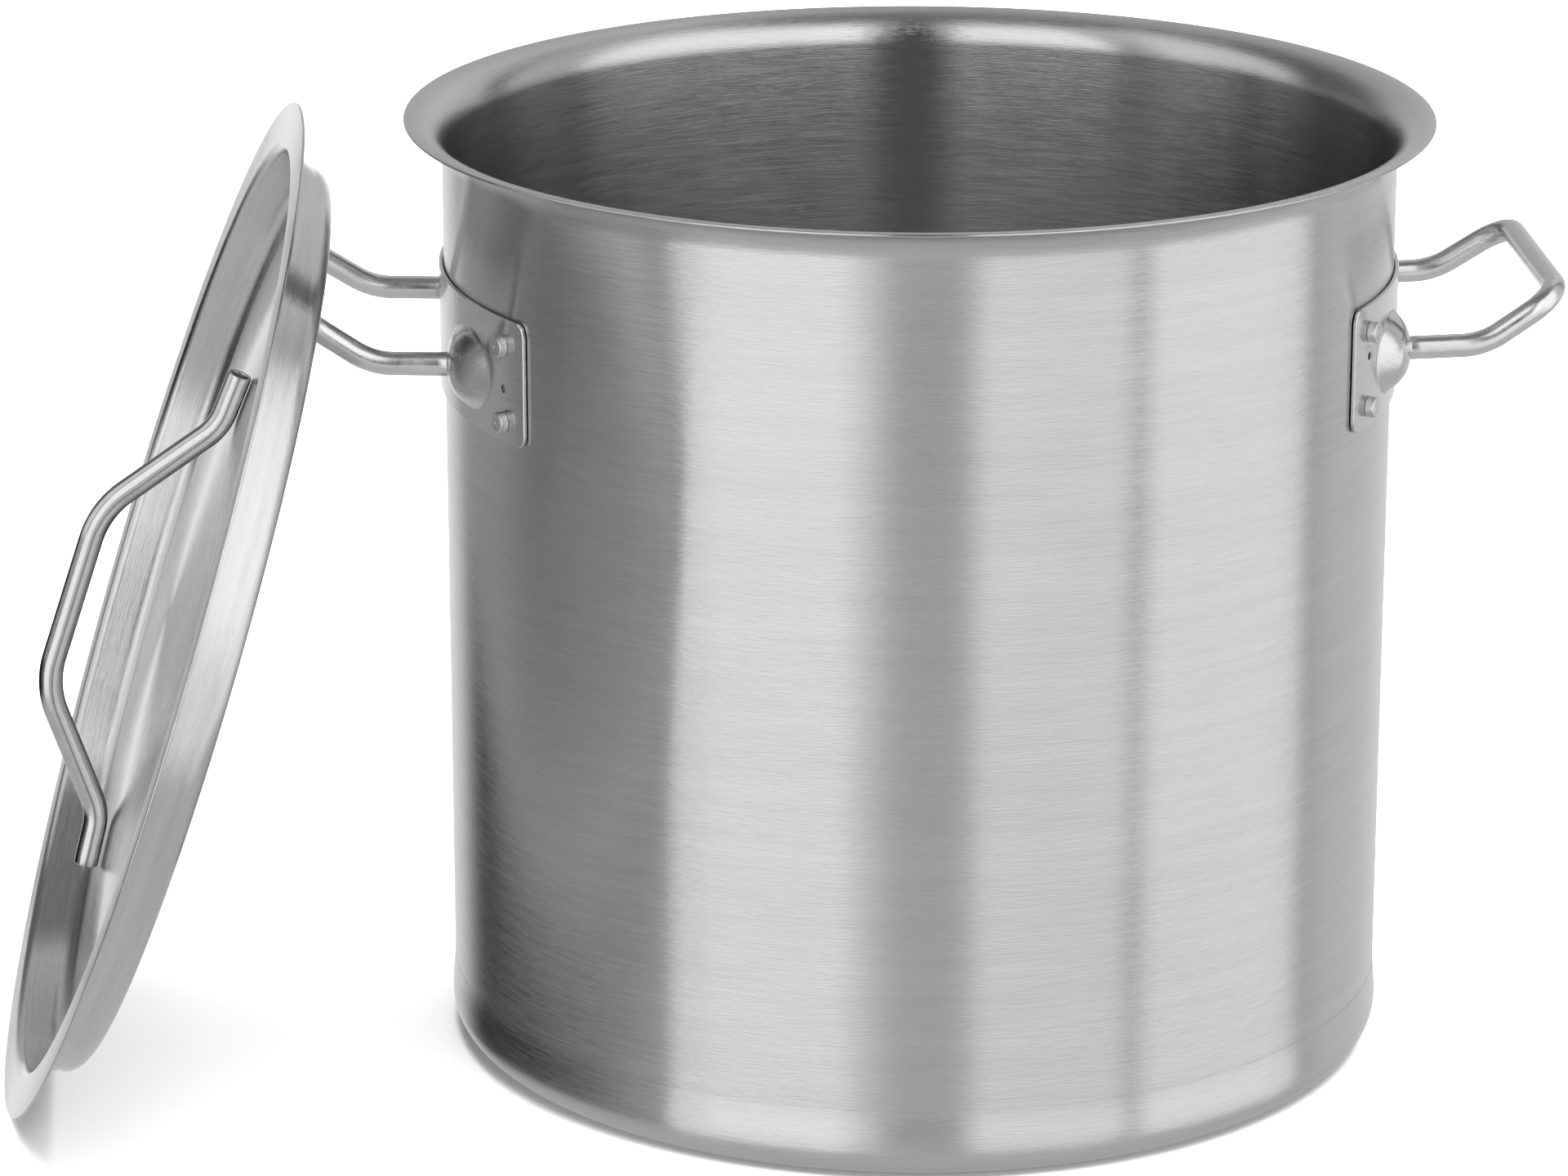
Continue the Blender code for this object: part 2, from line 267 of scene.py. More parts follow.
def turned_coordinates(n):
    """Streak coordinates: slow round the piece's Z axis, and fast up or out across the brushing."""
    position = n.add("ShaderNodeTexCoord").outputs["Object"]
    x, y, z = n.add("ShaderNodeSeparateXYZ", None, i0=position).outputs
    radius = n.math("SQRT", n.math("ADD", n.math("MULTIPLY", x, x), n.math("MULTIPLY", y, y)))
    safe = n.math("MAXIMUM", radius, 0.001)
    unit_x = n.math("DIVIDE", x, safe)
    unit_y = n.math("DIVIDE", y, safe)
    across = n.math("ADD", radius, z)
    round_axis = n.add("ShaderNodeCombineXYZ", None, X=n.math("MULTIPLY", y, -1.0), Y=x).outputs[0]
    return (unit_x, unit_y, across), round_axis, position


def streak_vector(n, turned, around, across):
    """Noise coordinates with so many features round the piece and so many per metre across."""
    unit_x, unit_y, height = turned
    return n.add("ShaderNodeCombineXYZ", None, X=n.math("MULTIPLY", unit_x, around),
                 Y=n.math("MULTIPLY", unit_y, around), Z=n.math("MULTIPLY", height, across)).outputs[0]


def brushed_steel(name, colour, roughness, anisotropy, grain=1.0, cloud=1.0):
    """Steel brushed round the piece: fine scratches, broader belts of tone and faint clouding."""
    material, n, shader = new_material(name)
    turned, round_axis, position = turned_coordinates(n)
    scratches = n.noise(streak_vector(n, turned, 9.0, 1500.0), 1.0, 3.0, 0.6)
    hairs = n.noise(streak_vector(n, turned, 30.0, 3600.0), 1.0, 1.0, 0.5)
    belts = n.noise(streak_vector(n, turned, 1.6, 160.0), 1.0, 2.0, 0.55)
    clouds = n.noise(position, 14.0, 3.0, 0.5)
    tone = n.math("ADD", n.span(scratches, -0.045 * grain, 0.045 * grain, 0.25, 0.75),
                  n.span(hairs, -0.03 * grain, 0.03 * grain, 0.2, 0.8))
    tone = n.math("ADD", tone, n.span(belts, -0.03 * cloud, 0.03 * cloud, 0.3, 0.7))
    tone = n.math("ADD", tone, n.span(clouds, -0.02 * cloud, 0.02 * cloud, 0.3, 0.7))
    tone = n.math("ADD", tone, 1.0)
    n.tree.links.new(n.scale(colour, tone), shader.inputs["Base Color"])
    rough = n.math("ADD", n.span(scratches, -0.03 * grain, 0.03 * grain, 0.25, 0.75),
                   n.span(clouds, roughness - 0.02 * cloud, roughness + 0.02 * cloud, 0.3, 0.7))
    n.tree.links.new(rough, shader.inputs["Roughness"])
    height = n.math("ADD", n.math("MULTIPLY", scratches, 0.4), hairs)
    relief = n.add("ShaderNodeBump", None, Strength=1.0, Distance=BRUSH_DEPTH, Height=height)
    n.tree.links.new(relief.outputs[0], shader.inputs["Normal"])
    tangent = n.add("ShaderNodeVectorTransform",
                    {"vector_type": "VECTOR", "convert_from": "OBJECT", "convert_to": "WORLD"},
                    i0=round_axis)
    n.tree.links.new(tangent.outputs[0], shader.inputs["Tangent"])
    shader.inputs["Metallic"].default_value = 1.0
    shader.inputs["Anisotropic"].default_value = anisotropy
    shader.inputs["Anisotropic Rotation"].default_value = 0.25
    return material


def satin_tube(name, colour, roughness):
    """Bent tube with a satin polish, a little uneven where the bending and buffing marked it."""
    material, n, shader = new_material(name)
    position = n.add("ShaderNodeTexCoord").outputs["Object"]
    fine = n.noise(position, 2600.0, 2.0, 0.6)
    patches = n.noise(position, 220.0, 3.0, 0.55)
    tone = n.math("ADD", n.span(fine, 0.95, 1.05, 0.25, 0.75),
                  n.span(patches, -0.05, 0.05, 0.3, 0.7))
    n.tree.links.new(n.scale(colour, tone), shader.inputs["Base Color"])
    rough = n.math("ADD", n.span(patches, roughness - 0.05, roughness + 0.05, 0.3, 0.7),
                   n.span(fine, -0.03, 0.03, 0.25, 0.75))
    n.tree.links.new(rough, shader.inputs["Roughness"])
    relief = n.add("ShaderNodeBump", None, Strength=0.25, Distance=TUBE_MARK_DEPTH,
                   Height=n.math("ADD", patches, n.math("MULTIPLY", fine, 0.5)))
    n.tree.links.new(relief.outputs[0], shader.inputs["Normal"])
    shader.inputs["Metallic"].default_value = 1.0
    return material


def rolled_aluminium():
    """The base core: mill-finished aluminium, unseen between the pot and its cap."""
    return brushed_steel("aluminium_core", (0.80, 0.80, 0.81), 0.45, 0.4, grain=1.5)


# ---------------------------------------------------------------- pot

pot_low, pot_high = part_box("pot_body")
cap_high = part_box("base_cap")[1]
CAP_SHEET = 0.0007
CAP_CORNER = 0.012
POT_RADIUS = cap_high.x - CAP_SHEET - GAP
POT_HEIGHT = pot_high.z
POT_BOTTOM = pot_low.z
RIM_RADIUS = pot_high.x
FLARE_RADIUS = 0.0125
BODY_CORNER = 0.010
CAP_TOP = cap_high.z
CAP_EDGE = 0.00006           # what is left of the cap's thickness at its upper edge
CAP_LAND = 0.003             # height of the cap's thin edge along the wall, on its inner side
CAP_STRAIGHT = 0.002         # height of the full sheet above the cap's corner
CORE_EDGE = 0.0004           # softened edge of the core


def pot_body_profile():
    """The deep-drawn vessel: outside from the base's middle up to the rim, then down the inside."""
    corner = (POT_RADIUS - BODY_CORNER, POT_BOTTOM + BODY_CORNER)
    flare = (POT_RADIUS + FLARE_RADIUS, POT_HEIGHT - SHEET - FLARE_RADIUS)
    levels = [CAP_TOP + (flare[1] - CAP_TOP) * i / 12 for i in range(12)]
    outside = [(0.0, POT_BOTTOM)] + arc(corner, BODY_CORNER, -90, 0)
    outside += [(POT_RADIUS, level) for level in levels]
    outside += arc(flare, FLARE_RADIUS, 180, 90, 24)
    lip = RIM_RADIUS - SHEET / 2
    outside += arc((lip, POT_HEIGHT - SHEET / 2), SHEET / 2, -90, 90, 8)
    inside = arc(flare, FLARE_RADIUS + SHEET, 90, 180, 24)
    inside += [(POT_RADIUS - SHEET, level) for level in reversed(levels)]
    inside += arc(corner, BODY_CORNER - SHEET, 0, -90)
    inside += [(POT_RADIUS * share, POT_BOTTOM + SHEET) for share in (0.75, 0.5, 0.25)]
    return outside + inside + [(0.0, POT_BOTTOM + SHEET)]


def base_cap_profile():
    """The pressed cap, ground to a thin edge that runs into the wall."""
    outer = POT_RADIUS + GAP + CAP_SHEET
    corner = (outer - CAP_CORNER, CAP_CORNER)
    outside = [(0.0, 0.0)] + [(outer * share, 0.0) for share in (0.25, 0.5, 0.75)]
    outside += arc(corner, CAP_CORNER, -90, 0, 20)
    edge = POT_RADIUS + CAP_EDGE
    top = []
    for i in range(1, 25):
        share = i / 24
        ease = share * share * (3 - 2 * share)
        top.append((outer + (edge - outer) * ease, CAP_CORNER + (CAP_TOP - CAP_CORNER) * share))
    inner_edge = edge - CAP_EDGE / 2
    inner = [(inner_edge, CAP_TOP), (inner_edge, CAP_TOP - CAP_LAND),
             (outer - CAP_SHEET, CAP_CORNER + CAP_STRAIGHT)]
    inside = arc(corner, CAP_CORNER - CAP_SHEET, 0, -90, 12) + [(0.0, CAP_SHEET)]
    return outside + top + inner + inside


def build_pot():
    """The pot's shell, its base cap and the core between them."""
    wall = brushed_steel("pot_steel", (0.62, 0.62, 0.62), 0.20, 1.0)
    make_piece("pot_shell", turn(pot_body_profile(), SEGMENTS), wall, "pot",
               ["pot_body"])
    make_piece("base_cap_skin", turn(base_cap_profile(), SEGMENTS), wall, "pot",
               ["base_cap"])
    core_low, core_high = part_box("base_core")
    rim = core_high.x - CORE_EDGE
    outline = [(0.0, core_low.z)] + arc((rim, core_low.z + CORE_EDGE), CORE_EDGE, -90, 0, 4)
    outline += arc((rim, core_high.z - CORE_EDGE), CORE_EDGE, 0, 90, 4) + [(0.0, core_high.z)]
    make_piece("base_core_disc", turn(outline, 128), rolled_aluminium(), "pot",
               ["base_core"])


# ---------------------------------------------------------------- brackets, handles and rivets

PLATE_SHEET = 0.0015
PLATE_EDGE = 0.0003          # softened edge of the plate
PLATE_ROWS = 84
PLATE_HALF_ANGLE = math.radians(33.05)
PLATE_CORNER = 0.005
ARM_SPACING = 0.057          # each arm, sideways from the handle's middle
GRIP_SPACING = 0.0543
ARM_HEIGHT = 0.2812
BEND_REACH = 0.2085          # where the arms turn up, from the pot's axis
BEND_HEIGHT = 0.2820
GRIP_REACH = 0.2375
GRIP_HEIGHT = 0.3008
DOME_TOP = 0.1806            # top of each pressed dome, from the pot's axis
DOME_FALL = 2130.0           # fall of the dome's side, per cube of the distance from its top
DOME_OUTER = 0.87            # how much shorter the distance counts towards the plate's end
DOME_INNER = 0.50            # and towards the plate's middle
DOME_NARROWING = 0.4         # how much narrower the dome is, per depth under the outer skin
DOME_BLEND = 0.0002
DOME_HALF_WIDTH = 0.026      # the stretch of plate that a dome and its blend take up, to each side
WEEP_RADIUS = 0.0015
WEEP_HEIGHTS = (0.2866, 0.2797)      # one small hole at each end of the plate
RIVET_ANGLE = math.radians(28.7)
RIVET_HEAD = 0.0039
RIVET_HEAD_HEIGHT = 0.0034
RIVET_SHANK = 0.0021
RIVET_EDGE = 0.0006          # softened edge of the outer head
RIVET_RING = 0.00014         # depth of the turned rings on the head
RIVET_RING_LEVELS = (0.0007, 0.0013, 0.0019)
FACE_RING = 0.0019           # radius of the ring on the head's face
FACE_RING_HALF = 0.0002      # half of that ring's width
CENTRE_MARK = 0.0007         # radius of the mark in the middle of the face
INNER_HEAD = 0.0045
INNER_HEAD_HEIGHT = 0.0009
INNER_HEAD_EDGE = 0.0005
TUBE_RADIUS = 0.0045
TUBE_WALL = 0.0012
TUBE_STEP = 0.004            # length of a tube's mesh faces along its straight runs
WELD_FILLET = 0.0004
WELD_SINK = 0.0004           # how far the weld reaches into the dome
ARM_BEND = 0.028             # centre-line bend radii
GRIP_BEND = 0.015
PLATE_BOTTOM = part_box("bracket_right")[0].z
PLATE_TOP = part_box("bracket_right")[1].z


def smooth_max(a, b, blend):
    """The larger of two values, rounded off where they are nearly the same."""
    return 0.5 * (a + b + math.sqrt((a - b) ** 2 + blend ** 2))


def plate_columns():
    """Angles of the plate's grid: close together over each dome and at the round corners."""
    dome = math.asin(ARM_SPACING / POT_RADIUS)
    half_dome = DOME_HALF_WIDTH / POT_RADIUS
    corner = PLATE_CORNER / POT_RADIUS
    marks = [-PLATE_HALF_ANGLE, -PLATE_HALF_ANGLE + corner, -dome - half_dome, -dome + half_dome]
    marks += [-mark for mark in reversed(marks)]
    at_corner, at_rivets, at_dome, at_middle = 0.0004, 0.0015, 0.0006, 0.003
    spacings = [at_corner, at_rivets, at_dome, at_middle, at_dome, at_rivets, at_corner]
    angles = [marks[0]]
    for a, b, spacing in zip(marks, marks[1:], spacings):
        steps = max(1, math.ceil((b - a) * POT_RADIUS / spacing))
        angles += [a + (b - a) * i / steps for i in range(1, steps + 1)]
    return angles


def dome_reach(side, height, depth):
    """How far out the pressed domes reach, from the pot's axis, at a depth under the outer skin."""
    outward = abs(side) - ARM_SPACING
    outward *= DOME_OUTER if outward > 0 else DOME_INNER
    distance = math.hypot(outward, height - ARM_HEIGHT) + DOME_NARROWING * depth
    return DOME_TOP - depth - DOME_FALL * distance ** 3


def plate_surface_point(angle, share, depth, inset):
    """A point of the plate at a depth under its outer skin, with its pressed domes."""
    radius = POT_RADIUS + GAP + PLATE_SHEET - depth
    half = PLATE_HALF_ANGLE - inset / radius
    corner = PLATE_CORNER - inset
    to_end = (half - abs(angle) * half / PLATE_HALF_ANGLE) * radius
    trim = inset
    if to_end < corner:
        trim += corner - math.sqrt(max(0.0, corner ** 2 - (corner - to_end) ** 2))
    height = PLATE_BOTTOM + trim + (PLATE_TOP - PLATE_BOTTOM - 2 * trim) * share
    angle *= half / PLATE_HALF_ANGLE
    side = radius * math.sin(angle)
    reach = smooth_max(radius * math.cos(angle), dome_reach(side, height, depth), DOME_BLEND)
    return Vector((reach, side, height))


def bracket_mesh():
    """The plate: layers of one grid from the outer skin round the softened edge to the inner skin."""
    bm = bmesh.new()
    angles = plate_columns()
    outlines = []
    for depth, inset, whole in ((0.0, PLATE_EDGE, True), (PLATE_EDGE, 0.0, False),
                                (PLATE_SHEET - PLATE_EDGE, 0.0, False),
                                (PLATE_SHEET, PLATE_EDGE, True)):
        grid = []
        for column, angle in enumerate(angles):
            ends = whole or column in (0, len(angles) - 1)
            line = []
            for j in range(PLATE_ROWS + 1):
                if ends or j in (0, PLATE_ROWS):
                    point = plate_surface_point(angle, j / PLATE_ROWS, depth, inset)
                    line.append(bm.verts.new(point))
            grid.append(line)
        if whole:
            for left, right in zip(grid, grid[1:]):
                for j in range(PLATE_ROWS):
                    bm.faces.new((left[j], right[j], right[j + 1], left[j + 1]))
        outline = grid[0] + [line[-1] for line in grid[1:-1]]
        outline += grid[-1][::-1] + [line[0] for line in grid[-2:0:-1]]
        outlines.append(outline)
    for outline_a, outline_b in zip(outlines, outlines[1:]):
        bridge(bm, outline_a, outline_b)
    return bm


def radial_matrix(angle, height, reach=0.0):
    """Places a piece whose own Z points straight out from the pot's wall."""
    turn_out = Matrix.Rotation(angle, 4, "Z") @ Matrix.Rotation(math.radians(90), 4, "Y")
    return Matrix.Translation((0, 0, height)) @ turn_out @ Matrix.Translation((0, 0, reach))


def cut_weep_holes(plate, direction):
    """Drills the small hole between each pair of rivets."""
    bm = bmesh.new()
    for offset, height in zip((-RIVET_ANGLE, RIVET_ANGLE), WEEP_HEIGHTS):
        bmesh.ops.create_cone(bm, cap_ends=True, segments=32, radius1=WEEP_RADIUS,
                              radius2=WEEP_RADIUS, depth=0.012,
                              matrix=radial_matrix(direction + offset, height, POT_RADIUS))
    cutter = add_object("weep_cutter", bm)
    hole = plate.modifiers.new("weep_holes", "BOOLEAN")
    hole.operation = "DIFFERENCE"
    hole.object = cutter
    bpy.context.view_layer.update()
    cut = bpy.data.meshes.new_from_object(plate.evaluated_get(bpy.context.evaluated_depsgraph_get()))
    plate.modifiers.clear()
    plate.data = cut
    bpy.data.objects.remove(cutter)


def side_handle_path():
    """Centre line from one dome, out along an arm, round the grip and back."""
    start = DOME_TOP - GAP
    near = [Vector((start, ARM_SPACING, ARM_HEIGHT)), Vector((BEND_REACH, ARM_SPACING, BEND_HEIGHT)),
            Vector((GRIP_REACH, GRIP_SPACING, GRIP_HEIGHT))]
    far = [Vector((p.x, -p.y, p.z)) for p in reversed(near)]
    return rounded_path(near + far, (ARM_BEND, GRIP_BEND, GRIP_BEND, ARM_BEND))


def weld_ring(bm, side):
    """The small hollow fillet where the tube is welded to the dome."""
    inner = TUBE_RADIUS - WELD_SINK / 2
    outer = TUBE_RADIUS + WELD_FILLET
    outline = arc((outer, WELD_FILLET), WELD_FILLET, -90, -180, 8)
    outline += [(inner, WELD_FILLET), (inner, -WELD_SINK), (outer, -WELD_SINK)]
    rings = []
    for radius, out in outline:
        ring = []
        for k in range(TUBE_SIDES):
            angle = 2 * math.pi * k / TUBE_SIDES
            ring.append(bm.verts.new((DOME_TOP - FINE_GAP + out, side + radius * math.cos(angle),
                                      ARM_HEIGHT + radius * math.sin(angle))))
        rings.append(ring)
    for ring_a, ring_b in zip(rings, rings[1:] + rings[:1]):
        bridge(bm, ring_a, ring_b)


def rivet_profile():
    """A rivet with a softened head that has turned rings and a small centre mark."""
    inner_face = POT_RADIUS - SHEET - GAP
    inner_end = inner_face - INNER_HEAD_HEIGHT
    outer_face = POT_RADIUS + GAP + PLATE_SHEET + FINE_GAP
    top = outer_face + RIVET_HEAD_HEIGHT
    outline = [(0.0, inner_end)]
    outline += arc((INNER_HEAD - INNER_HEAD_EDGE, inner_end + INNER_HEAD_EDGE), INNER_HEAD_EDGE,
                   -90, 0, 5)
    outline += [(INNER_HEAD, inner_face), (RIVET_SHANK, inner_face), (RIVET_SHANK, outer_face),
                (RIVET_HEAD, outer_face)]
    for level in RIVET_RING_LEVELS:
        middle = outer_face + level
        outline += [(RIVET_HEAD, middle - RIVET_RING), (RIVET_HEAD - RIVET_RING, middle),
                    (RIVET_HEAD, middle + RIVET_RING)]
    outline += arc((RIVET_HEAD - RIVET_EDGE, top - RIVET_EDGE), RIVET_EDGE, 0, 90, 8)
    outline += [(FACE_RING + FACE_RING_HALF, top), (FACE_RING, top - RIVET_RING),
                (FACE_RING - FACE_RING_HALF, top)]
    outline += [(CENTRE_MARK, top), (CENTRE_MARK - FACE_RING_HALF, top - 2 * RIVET_RING),
                (0.0, top - 2.5 * RIVET_RING)]
    return outline


def build_sides():
    """Each side's plate, handle and four rivets."""
    plate_steel = brushed_steel("plate_steel", (0.68, 0.68, 0.68), 0.13, 0.5, grain=0.8)
    tube_steel = satin_tube("tube_steel", (0.74, 0.74, 0.74), 0.24)
    rivet_steel = brushed_steel("rivet_steel", (0.70, 0.70, 0.70), 0.17, 0.3)
    for side in ("left", "right"):
        direction = node_direction("handle_" + side)
        turned = Matrix.Rotation(direction, 4, "Z")
        plate = make_piece("plate_" + side, bracket_mesh(), plate_steel, "pot",
                           ["bracket_" + side], turned)
        cut_weep_holes(plate, direction)
        tube = sweep_tube(bmesh.new(), even_path(side_handle_path(), TUBE_STEP), TUBE_RADIUS,
                          TUBE_WALL)
        weld_ring(tube, ARM_SPACING)
        weld_ring(tube, -ARM_SPACING)
        make_piece("grip_" + side, tube, tube_steel, "pot",
                   ["handle_" + side], turned)
        for number in range(1, 5):
            node = f"rivet_{side}_{number}"
            low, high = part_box(node)
            middle = (low + high) / 2
            matrix = radial_matrix(math.atan2(middle.y, middle.x), middle.z)
            make_piece(f"rivet_head_{side}_{number}", turn(rivet_profile(), 40), rivet_steel,
                       "pot", [node], matrix)


# ---------------------------------------------------------------- lid

LID_RADIUS = 0.1975
LID_EDGE = 0.1789            # where the flange turns down
LID_SKIRT = 0.1761           # outside of the skirt at its foot
LID_DEPTH = 0.0192           # flange top to the skirt's foot
LID_TOP_BEND = 0.0035
LID_FOOT_BEND = 0.0065
LID_DOME = 0.0110            # rise of the dome's middle above its edge
LID_TUBE_RADIUS = 0.0046
LID_HANDLE_HALF = 0.1023
LID_FOOT_START = 0.0805
LID_GRIP_HALF = 0.0365
LID_GRIP_HEIGHT = 0.0468     # above the dome's edge
LID_HANDLE_BEND = 0.036
LID_HANDLE_FOOT_BEND = LID_HANDLE_BEND * 0.6
LID_HANDLE_LIFT = 0.0002     # extra clearance between its feet and the dome
LID_HANDLE_TURN = math.radians(-3.0)
LID_HANDLE_SHIFT = -0.0042


def dome_height(radius):
    """Height of the lid's dome above its own edge."""
    edge = LID_SKIRT - LID_FOOT_BEND
    return LID_DOME * (1 - (radius / edge) ** 2)


def lid_profile():
    """The pressed lid: flange, skirt and domed disc, with the handle side up."""
    foot = LID_SKIRT - SHEET
    disc = -LID_DEPTH + SHEET
    bend = (LID_EDGE + LID_TOP_BEND, -LID_TOP_BEND)
    foot_bend = (LID_SKIRT - LID_FOOT_BEND, -LID_DEPTH + LID_FOOT_BEND)
    skirt_start = foot_bend[1] + 0.001
    edge = (LID_RADIUS - SHEET / 2, -SHEET / 2)
    radii = [foot_bend[0] * i / 32 for i in range(31, 0, -1)]
    top = [(0.0, disc + LID_DOME)]
    top += [(r, disc + dome_height(r)) for r in reversed(radii)]
    top += arc(foot_bend, LID_FOOT_BEND - SHEET, -90, 0, 12)[:-1] + [(foot, skirt_start)]
    top += arc(bend, LID_TOP_BEND, 180, 90, 12)
    under = arc(edge, SHEET / 2, 90, -90, 8)
    under += arc(bend, LID_TOP_BEND - SHEET, 90, 180, 12)
    under += [(LID_SKIRT, skirt_start)] + arc(foot_bend, LID_FOOT_BEND, 0, -90, 12)[1:]
    under += [(r, -LID_DEPTH + dome_height(r)) for r in radii]
    under += [(0.0, -LID_DEPTH + LID_DOME)]
    return top + under


def lid_handle_path():
    """Centre line of the lid's handle, whose two feet lie on the dome."""
    disc = -LID_DEPTH + SHEET
    clear = LID_TUBE_RADIUS + GAP + LID_HANDLE_LIFT
    end = Vector((LID_HANDLE_HALF, 0, disc + dome_height(LID_HANDLE_HALF) + clear))
    foot = Vector((LID_FOOT_START, 0, disc + dome_height(LID_FOOT_START) + clear))
    grip = Vector((LID_GRIP_HALF, 0, disc + LID_GRIP_HEIGHT))
    one_side = [end, foot, grip]
    other_side = [Vector((-p.x, 0, p.z)) for p in reversed(one_side)]
    return rounded_path(one_side + other_side, (LID_HANDLE_FOOT_BEND, LID_HANDLE_BEND,
                                                LID_HANDLE_BEND, LID_HANDLE_FOOT_BEND))


def build_lid():
    """The lid and its handle, where the lid leans."""
    matrix = lid_matrix()
    lid_steel = brushed_steel("lid_steel", (0.66, 0.66, 0.66), 0.18, 1.0, grain=1.6, cloud=1.8)
    make_piece("lid_shell", turn(lid_profile(), SEGMENTS), lid_steel, "lid",
               ["lid_pan"], matrix)
    tube_steel = satin_tube("lid_tube_steel", (0.62, 0.62, 0.62), 0.15)
    shift = Matrix.Translation((LID_HANDLE_SHIFT, 0, 0))
    place = matrix @ shift @ Matrix.Rotation(LID_HANDLE_TURN, 4, "Z")
    tube = sweep_tube(bmesh.new(), even_path(lid_handle_path(), TUBE_STEP), LID_TUBE_RADIUS,
                      TUBE_WALL)
    make_piece("lid_grip", tube, tube_steel, "lid", ["lid_handle"], place)


# ---------------------------------------------------------------- studio

# Brightness of the panels by direction in degrees: 0 is the camera's side and +90 is +X.
# One band is at and below the horizon, and one is above it.
LOW_BAND = [(-180, 1.00), (-165, 0.92), (-150, 0.66), (-143, 0.26), (-136, 0.02), (-107, 0.0),
            (-85, 0.12), (-68, 0.30), (-63, 0.40), (-61, 1.22), (-48, 1.28), (-19, 1.28),
            (-13, 0.82), (-4, 0.64), (12, 0.60), (14.5, 1.00), (50, 1.00), (51.5, 0.50),
            (54.5, 0.50), (56.5, 1.14), (104.5, 1.14), (106, 0.42), (112, 0.60), (124, 0.68),
            (144, 0.70), (165, 0.82), (180, 1.00)]
HIGH_BAND = [(-180, 0.50), (-160, 0.46), (-140, 0.14), (-114, 0.14), (-104, 0.80), (-70, 0.95),
             (-62, 0.60), (-54, 0.40), (-50, 1.35), (-11, 1.30), (-7, 0.08), (8, 0.08),
             (13, 1.45), (42, 1.30), (91, 1.25), (94, 0.50), (115, 0.62), (119, 0.75),
             (123, 0.15), (130, 0.15), (134, 0.60), (160, 0.66), (180, 0.50)]
OVERHEAD = 0.20
UNDERNEATH = 0.56
BACKDROP = 1.0
# Where one brightness runs into the next, as the height of a direction of length 1.
LOW_TO_HIGH = (-0.10, 0.08)
HIGH_TO_OVERHEAD = (0.84, 0.94)
UNDERNEATH_TO_LOW = (-0.54, -0.36)
FLOOR_LIGHT = 500.0
FLOOR_LIGHT_HEIGHT = 3.0
FLOOR_REACH = 14.0
FLOOR_HEIGHT = -0.0004       # just under the pot's base, which stands at zero
CAMERA_PLACE = (-0.0512, -2.1937, 0.8578)
CAMERA_DIP = math.radians(17.35)
CAMERA_LENS = 135.75


def band(n, place, stops):
    """A smooth ramp of brightness round the horizon."""
    node = n.add("ShaderNodeValToRGB", None, i0=place)
    ramp = node.color_ramp
    ramp.elements[0].position, ramp.elements[1].position = 0.0, 1.0
    for degrees, _ in stops[1:-1]:
        ramp.elements.new((degrees + 180) / 360)
    for element, (_, value) in zip(ramp.elements, stops):
        element.color = (value, value, value, 1.0)
    return node.outputs[0]


def fade(n, height, heights, below, above):
    """Goes from one brightness to another as a direction's height goes between two heights."""
    share = n.add("ShaderNodeMapRange", {"interpolation_type": "SMOOTHSTEP"}, i0=height,
                  i1=heights[0], i2=heights[1]).outputs[0]
    return n.add("ShaderNodeMix", {"data_type": "FLOAT"}, Factor=share, A=below, B=above).outputs[0]


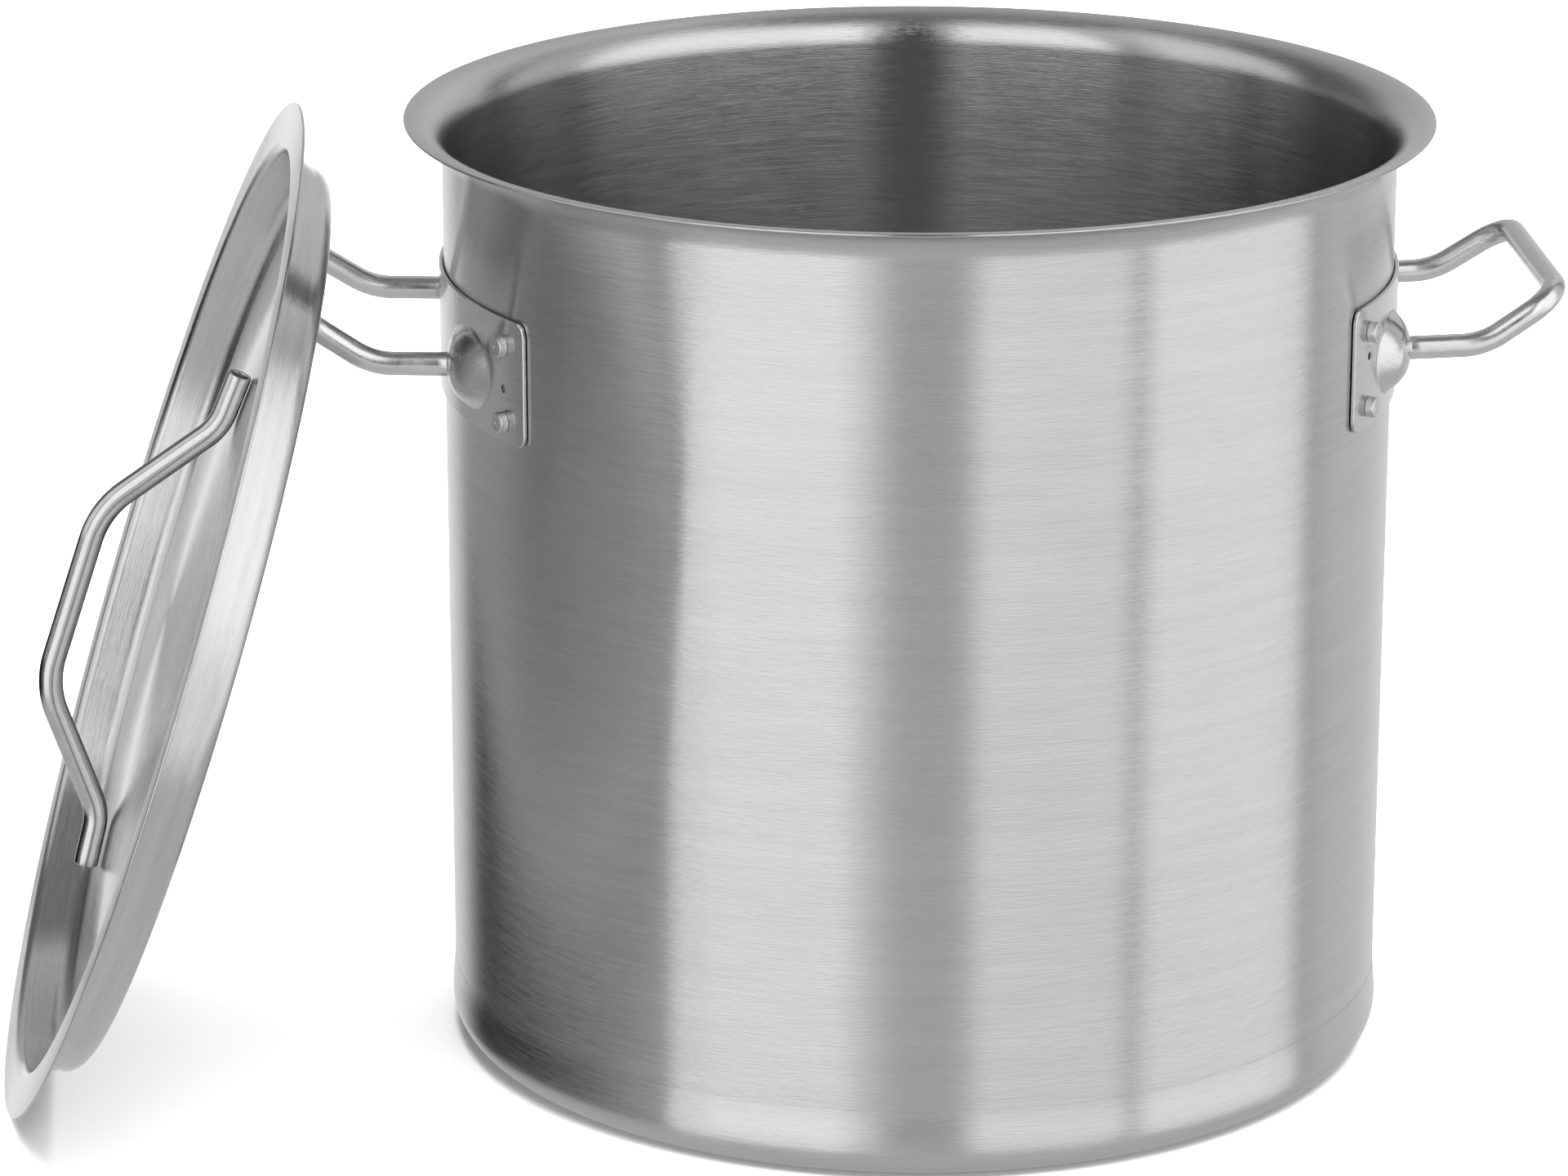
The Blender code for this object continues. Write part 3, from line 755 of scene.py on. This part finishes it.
def studio_world():
    """Tall soft panels round the object in a plain lighting tent."""
    world = bpy.data.worlds.new("studio")
    bpy.context.scene.world = world
    world.use_nodes = True
    n = Nodes(world.node_tree)
    direction = n.add("ShaderNodeTexCoord").outputs["Generated"]
    x, y, z = n.add("ShaderNodeSeparateXYZ", None, i0=direction).outputs
    angle = n.math("ARCTAN2", x, n.math("MULTIPLY", y, -1.0))
    place = n.math("ADD", n.math("DIVIDE", angle, 2 * math.pi), 0.5)
    light = fade(n, z, LOW_TO_HIGH, band(n, place, LOW_BAND), band(n, place, HIGH_BAND))
    light = fade(n, z, HIGH_TO_OVERHEAD, light, OVERHEAD)
    light = fade(n, z, UNDERNEATH_TO_LOW, UNDERNEATH, light)
    seen = n.add("ShaderNodeLightPath").outputs["Is Camera Ray"]
    light = n.add("ShaderNodeMix", {"data_type": "FLOAT"}, Factor=seen, A=light,
                  B=BACKDROP).outputs[0]
    background = world.node_tree.nodes["Background"]
    n.tree.links.new(light, background.inputs["Strength"])
    background.inputs["Color"].default_value = (1.0, 1.0, 1.0, 1.0)


def floor_light():
    """A soft light overhead, for the floor and its shadows only."""
    data = bpy.data.lights.new("floor_light", "AREA")
    data.size = 4.0
    data.energy = FLOOR_LIGHT
    obj = bpy.data.objects.new("floor_light", data)
    bpy.context.scene.collection.objects.link(obj)
    obj.location = (0.0, 0.0, FLOOR_LIGHT_HEIGHT)
    obj.visible_glossy = False
    obj.visible_camera = False


def studio_floor():
    """A wide pale floor. The steel reflects the panels in place of it."""
    bm = bmesh.new()
    corners = ((-1, -1), (1, -1), (1, 1), (-1, 1))
    bm.faces.new([bm.verts.new((FLOOR_REACH * x, FLOOR_REACH * y, FLOOR_HEIGHT))
                  for x, y in corners])
    floor = add_object("floor", bm)
    material, n, shader = new_material("floor_paint")
    mottle = n.noise(n.add("ShaderNodeTexCoord").outputs["Object"], 3.0, 3.0, 0.5)
    tone = n.span(mottle, 0.90, 0.93, 0.3, 0.7)
    grey = n.add("ShaderNodeCombineXYZ", None, X=tone, Y=tone, Z=tone).outputs[0]
    n.tree.links.new(grey, shader.inputs["Base Color"])
    shader.inputs["Roughness"].default_value = 0.8
    floor.data.materials.append(material)
    floor.visible_glossy = False


def camera():
    """Looks down at the object from the front with a long lens."""
    data = bpy.data.cameras.new("camera")
    data.sensor_width = 36.0
    data.lens = CAMERA_LENS
    obj = bpy.data.objects.new("camera", data)
    bpy.context.scene.collection.objects.link(obj)
    obj.location = CAMERA_PLACE
    obj.rotation_euler = (math.pi / 2 - CAMERA_DIP, 0.0, 0.0)
    bpy.context.scene.camera = obj


build_pot()
build_sides()
build_lid()
studio_world()
floor_light()
studio_floor()
camera()
bpy.context.scene.view_settings.view_transform = "Standard"
